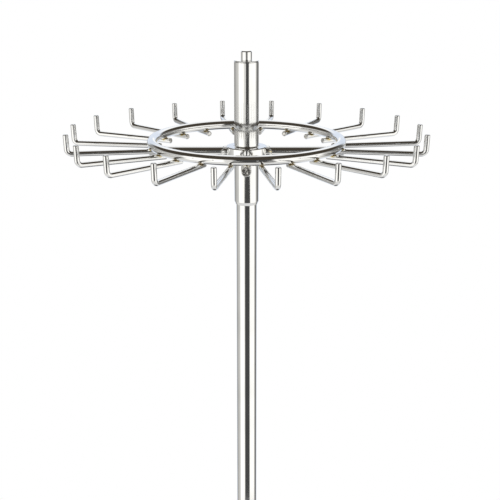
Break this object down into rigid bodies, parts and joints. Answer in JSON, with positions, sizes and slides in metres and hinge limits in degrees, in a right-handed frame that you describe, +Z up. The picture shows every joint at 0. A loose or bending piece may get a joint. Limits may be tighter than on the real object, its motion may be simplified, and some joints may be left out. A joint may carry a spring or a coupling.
{
  "type": "rotating tie rack",
  "caption": "Floor-standing rotating tie rack: a chrome ring of bent wire pegs on spokes, with a sleeve that spins on a post over a round weighted base.",
  "frame": {"origin": "on the floor, under the spin axis", "axes": "+Z up along the post, -Y towards the viewer, +X to the viewer's right"},
  "size_m": [0.4652, 0.4652, 1.1764],
  "materials": {
    "chrome_plate": "bright polished plate",
    "zinc_steel": "zinc plated, turned",
    "acetal": "moulded, satin",
    "cast_iron": "rough cast, black paint",
    "rubber": "moulded, matt"
  },
  "bodies": {
    "stand": {"spindle": "chrome_plate", "thrust_washer": "zinc_steel", "post_plug": "zinc_steel", "post": "chrome_plate", "foot_plug": "zinc_steel", "base_flange": "chrome_plate", "base_cover": "chrome_plate", "base_weight": "cast_iron", "base_washer": "zinc_steel", "base_bolt": "zinc_steel", "foot_1": "rubber", "foot_2": "rubber", "foot_3": "rubber", "foot_4": "rubber"},
    "head": {"peg_01": "chrome_plate", "peg_02": "chrome_plate", "peg_03": "chrome_plate", "peg_04": "chrome_plate", "peg_05": "chrome_plate", "peg_06": "chrome_plate", "peg_07": "chrome_plate", "peg_08": "chrome_plate", "peg_09": "chrome_plate", "peg_10": "chrome_plate", "peg_11": "chrome_plate", "peg_12": "chrome_plate", "peg_13": "chrome_plate", "peg_14": "chrome_plate", "peg_15": "chrome_plate", "peg_16": "chrome_plate", "peg_17": "chrome_plate", "peg_18": "chrome_plate", "peg_19": "chrome_plate", "peg_20": "chrome_plate", "ring": "chrome_plate", "spoke_right": "chrome_plate", "spoke_back": "chrome_plate", "spoke_left": "chrome_plate", "spoke_front": "chrome_plate", "hub_collar": "chrome_plate", "hub_sleeve": "chrome_plate", "sleeve_cap": "chrome_plate", "spindle_bush": "acetal"}
  },
  "joints": [
    {"name": "head_spin", "type": "hinge", "parent": "stand", "child": "head", "pos_m": [0, 0, 1.05], "axis": [0, 0, 1], "continuous": true}
  ]
}
